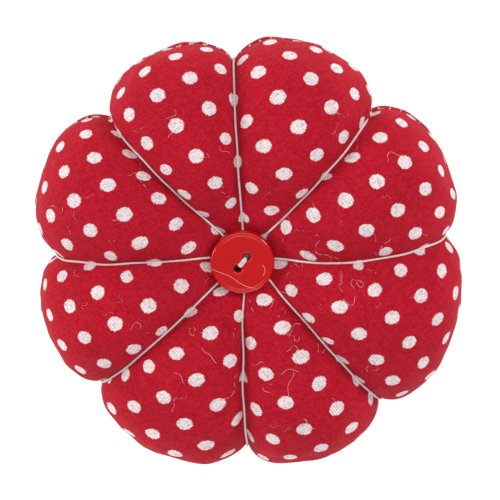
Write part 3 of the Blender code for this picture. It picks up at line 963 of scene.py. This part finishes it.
BUTTON_TURN = math.radians(53)
BUTTON_DISH = 0.00012
BUTTON_HOLE = 0.0019
TOP_SPACING, BACKING_SPACING = 0.00345, 0.0030
FACE_SHARE, CREST = 0.80, 0.90  # the flat of a button's face, and its highest line, in radii


def dished(share, thickness):
    """Height of a button's face at that share of its radius: flat, then up by half a cosine."""
    rise = np.clip((share - FACE_SHARE) / (CREST - FACE_SHARE), 0, 1)
    return thickness - BUTTON_DISH * (1 + np.cos(np.pi * rise)) / 2


def button_profile(radius, thickness, base, up):
    """(radius, height) of a button's section, from the middle of its showing face round the rim
    to the middle of its back. The face is a shallow dish, the rim is a squared half-round and the
    back is flat. up is 1 or -1, the showing side."""
    inner = np.linspace(0, CREST, 34)
    face = dished(inner, thickness)
    angle = np.linspace(0, np.pi, 40)[1:]
    out = CREST + (1 - CREST) * np.sin(angle) ** 0.85
    side = thickness / 2 + thickness / 2 * np.sign(np.cos(angle)) * np.abs(np.cos(angle)) ** 0.9
    back = np.linspace(CREST, 0, 8)[1:]
    shares = np.concatenate([inner, out, back])
    level = np.concatenate([face, side, back * 0])
    return np.stack([shares * radius, base + up * level], -1)


def turned_button(name, low, high, up, spacing, body, replaced):
    """A two-hole button: a lathed body cut by two lathed drills whose ends flare as quarter
    circles, so that the holes have rounded edges."""
    radius, thickness = (high.x - low.x) / 2, high.z - low.z
    base = low.z if up > 0 else high.z
    centre = middle_of(low, high)
    points, faces = lathe(button_profile(radius, thickness, base, up), centre)
    if up < 0:
        faces = [face[::-1] for face in faces]
    made = new_object(name, points, faces, resin, body, replaced)
    fillet = 0.00035
    arc = np.linspace(0, np.pi / 2, 8)
    face_level = thickness - BUTTON_DISH
    hole = BUTTON_HOLE / 2
    drill_radius = np.concatenate(
        [[0, hole + fillet * 1.6], hole + fillet * (1 - np.cos(arc[::-1])),
         hole + fillet * (1 - np.cos(arc)), [hole + fillet * 1.6, 0]]
    )
    drill_level = np.concatenate(
        [[face_level + 0.0004] * 2, face_level - fillet * (1 - np.sin(arc[::-1])),
         fillet * (1 - np.sin(arc)), [-0.0004] * 2]
    )
    profile = np.stack([drill_radius, base + up * drill_level], -1)
    for side in (-1, 1):
        aside = side * spacing / 2 * np.array([math.cos(BUTTON_TURN), math.sin(BUTTON_TURN)])
        points, faces = lathe(profile, centre + aside, 48)
        if up < 0:
            faces = [face[::-1] for face in faces]
        mesh = bpy.data.meshes.new("drill")
        mesh.from_pydata(points, [], faces)
        drill = bpy.data.objects.new("drill", mesh)
        bpy.context.scene.collection.objects.link(drill)
        cut = made.modifiers.new("hole", "BOOLEAN")
        cut.operation, cut.object, cut.solver = "DIFFERENCE", drill, "EXACT"
        evaluated = made.evaluated_get(bpy.context.evaluated_depsgraph_get())
        drilled = bpy.data.meshes.new_from_object(evaluated)
        made.modifiers.clear()
        made.data = drilled
        bpy.data.objects.remove(drill)
        bpy.data.meshes.remove(mesh)
    made.data.materials.clear()
    made.data.materials.append(resin)
    made.data.set_sharp_from_angle(angle=math.radians(38))
    return made


turned_button(
    "polished_top_button", button_low, button_high, 1, TOP_SPACING, "top_button", ["top_button"]
)
turned_button(
    "polished_backing_button", backing_low, backing_high, -1, BACKING_SPACING, "backing_button",
    ["backing_button"],
)


def stitch_bar(centre, face, up, spacing, leg, offsets, diameter):
    """Strands of thread over a button, (count, points, 3): each follows a squared arch, half a
    superellipse, out of one hole and down the other, beside its neighbours."""
    angle = np.linspace(0.04, np.pi - 0.04, 90)
    along = spacing / 2 * np.sign(np.cos(angle)) * np.abs(np.cos(angle)) ** 0.45
    rise = np.sin(angle) ** 0.30
    direction = np.array([math.cos(BUTTON_TURN), math.sin(BUTTON_TURN), 0])
    beside = np.array([-math.sin(BUTTON_TURN), math.cos(BUTTON_TURN), 0])
    offset, extra = np.array(offsets).T
    level = face + up * (leg * (rise - 1) + diameter * 0.55 + extra[:, None] * rise**6)
    gathered = (offset[:, None] * (0.35 + 0.65 * rise**2))[..., None]
    points = np.array([*centre, 0]) + along[:, None] * direction + gathered * beside
    points = points + level[..., None] * np.array([0, 0, 1.0])
    return points, beside


BAR = 0.00038  # diameter of a strand over a button
KNOT_STRAND = 0.00034  # the knot's, which also sets how high the backing button's bar lies
top_face = button_high.z - BUTTON_DISH
bars, beside = stitch_bar(
    middle_of(button_low, button_high), top_face, 1, TOP_SPACING - 0.6 * BUTTON_HOLE, 0.0028,
    [(-0.00035, 0.0), (0.0, 0.00006), (0.00035, 0.00002)], BAR,
)
thread_object(
    "top_button_threads", bars, beside, BAR, white_thread, "top_button", ["top_button_stitch"],
    "white_thread",
)
backing_face = backing_low.z + BUTTON_DISH
bars, beside = stitch_bar(
    middle_of(backing_low, backing_high), backing_face, -1, BACKING_SPACING - 0.6 * BUTTON_HOLE,
    0.0022, [(-0.00030, 0.0), (0.0, 0.00008), (0.00030, 0.0)], KNOT_STRAND,
)
thread_object(
    "backing_button_threads", bars, beside, BAR, white_thread, "backing_button",
    ["backing_button_stitch"], "white_thread",
)

# The knot that ties the thread off under the backing button: a trefoil
knot_low, knot_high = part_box("tie_off_knot")
knot_middle = np.array((knot_low + knot_high) / 2)
turn = np.linspace(0, 2 * np.pi, 150)
trefoil = np.stack(
    [
        (np.sin(turn) + 2 * np.sin(2 * turn)) / 3,
        (np.cos(turn) - 2 * np.cos(2 * turn)) / 3,
        -np.sin(3 * turn) * 0.5,
    ],
    -1,
)
knot = knot_middle + trefoil * np.array([0.00075, 0.00075, 0.0005])
thread_object(
    "tie_off_knot_thread", knot[None], np.array([0.02, 0.03, 1.0]), KNOT_STRAND, white_thread,
    "backing_button", ["tie_off_knot"], "white_thread",
)

# Stray fibres


def height_over(spots, ground):
    """The height of the nearest four ground points to each spot, weighted by nearness."""
    gap = np.linalg.norm(spots[:, None, :2] - ground[None, :, :2], axis=-1)
    nearest = np.argpartition(gap, 4, axis=1)[:, :4]
    weight = 1 / (np.take_along_axis(gap, nearest, 1) + 1e-6)
    return (ground[nearest, 2] * weight).sum(1) / weight.sum(1)


def lint(name, places, length, curl, diameter, ground, lift, body, seed, points=36):
    """Curled stray fibres: each heading swings by a sine and drifts, and its height follows what
    it lies on, with both ends a little proud. places is (count, 3): x, y and first heading."""
    random = np.random.default_rng(seed)
    count = len(places)
    share = np.linspace(0, 1, points)
    swing = curl * random.uniform(0.5, 1.5, (count, 1))
    phase = random.uniform(0, 2 * np.pi, (count, 1))
    bend = curl * random.uniform(-1.2, 1.2, (count, 1))
    rate = random.uniform(4, 9, (count, 1))
    heading = places[:, 2:] + swing * np.sin(rate * share + phase) + bend * share * 2
    step = length * random.uniform(0.5, 1.3, (count, 1)) / points
    track = np.stack([np.cos(heading), np.sin(heading)], -1) * step[..., None]
    track = places[:, None, :2] + np.cumsum(track, axis=1)
    height = height_over(track.reshape(-1, 2), ground).reshape(count, points)
    height = height + lift + 0.0003 * (2 * share - 1) ** 6
    paths = np.concatenate([track, height[..., None]], -1)
    rings = thread_rings(paths, np.array([0.02, 0.01, 1.0]), diameter, plies=1, sides=5, taper=0.1)
    return new_object(name, rings, tube_faces(rings), lint_fibre, body)


# Real lint is 0.02 mm thick, too fine to show, so it is drawn three times as thick
LINT = 0.000065
lint_fibre = spun_thread("stray_cotton_lint", "#FFF3F3", "#F0C8CC", 0.0, 0.002)
random = np.random.default_rng(77)
ground = whole[: SEAM_ROW - 6 : 2, ::2].reshape(-1, 3)
count = 70
out, round_it = 0.044 * np.sqrt(random.uniform(0.05, 1, count)), random.uniform(0, 2 * np.pi, count)
places = np.stack(
    [CORE[0] + out * np.cos(round_it), CORE[1] + out * np.sin(round_it),
     random.uniform(0, 2 * np.pi, count)], -1
)
lint("lint_on_cotton", places, 0.0042, 0.9, LINT, ground, 0.00006, "cushion", 81)
# Longer curls beside the button, where fingers press, and on the near lobes
places = np.array(
    [
        (0.0085, -0.0035, -0.6), (0.0100, 0.0010, -1.4), (0.0045, -0.0095, 0.1),
        (-0.0100, -0.0040, 2.2), (0.0060, 0.0110, 0.3), (0.0240, -0.0040, 0.4),
        (0.0100, -0.0230, -0.7), (0.0150, -0.0170, -1.0), (-0.0080, -0.0300, 1.9),
        (-0.0260, 0.0260, -0.5), (-0.0230, -0.0140, 2.6), (0.0320, 0.0080, -1.2),
    ]
)
lint("long_lint_on_cotton", places, 0.0085, 1.3, LINT * 0.9, ground, 0.00008, "cushion", 82, 60)
middle = middle_of(button_low, button_high)
spread = np.linspace(-1, 1, 60) * TOP_RADIUS
face_x, face_y = np.meshgrid(spread, spread)
share = np.hypot(face_x, face_y) / TOP_RADIUS
edge_drop = np.clip(share - 0.95, 0, 1) * 0.004
face_level = dished(share, button_high.z) - edge_drop
face = np.stack([middle[0] + face_x, middle[1] + face_y, face_level], -1).reshape(-1, 3)
places = np.array(
    [
        (middle[0] - 0.0072, middle[1] - 0.0012, -0.6),
        (middle[0] + 0.0046, middle[1] - 0.0004, -1.2),
    ]
)
lengths = np.array([[0.0125], [0.0035]])
lint("lint_on_button", places, lengths, 0.35, LINT, face, 0.00004, "top_button", 476, 60)

# Studio: floor, lights, camera
floor_mesh = bpy.data.meshes.new("floor")
edge, below = 1.5, -0.0001
floor_mesh.from_pydata(
    [(-edge, -edge, below), (edge, -edge, below), (edge, edge, below), (-edge, edge, below)],
    [],
    [(0, 1, 2, 3)],
)
floor = bpy.data.objects.new("floor", floor_mesh)
floor_mesh.materials.append(studio_sheet())
bpy.context.scene.collection.objects.link(floor)

world = bpy.data.worlds.new("studio")
world.use_nodes = True
world.node_tree.nodes["Background"].inputs[0].default_value = linear("#FFFFFF")
world.node_tree.nodes["Background"].inputs[1].default_value = 0.26
bpy.context.scene.world = world


def softbox(name, place, size, power, target=(0, 0, 0.02)):
    """A square area light that faces the target."""
    light = bpy.data.lights.new(name, "AREA")
    light.size, light.energy = size, power
    lamp = bpy.data.objects.new(name, light)
    lamp.location = place
    toward = np.array(target) - np.array(place)
    lamp.rotation_euler = (
        math.acos(-toward[2] / np.linalg.norm(toward)),
        0,
        math.atan2(toward[1], toward[0]) - math.pi / 2,
    )
    bpy.context.scene.collection.objects.link(lamp)


softbox("overhead", (-0.05, 0.50, 0.80), 1.10, 3.4)
softbox("left", (-0.80, 0.12, 0.36), 0.25, 3.2)
softbox("right", (0.62, 0.42, 0.42), 0.24, 2.6)
softbox("front", (0.05, -0.75, 0.60), 0.70, 3.3)

# The camera looks down from 13 degrees off the vertical, on the far side's edge
TILT = math.radians(13)
target = np.array([0, 0.00076, SEAM_HEIGHT])
camera = bpy.data.cameras.new("camera")
camera.lens = 183.2
camera.clip_start = 0.01
viewer = bpy.data.objects.new("camera", camera)
viewer.location = target + 0.6 * np.array([0, math.sin(TILT), math.cos(TILT)])
viewer.rotation_euler = (-TILT, 0, 0)
bpy.context.scene.collection.objects.link(viewer)
bpy.context.scene.camera = viewer
bpy.context.scene.view_settings.view_transform = "Standard"
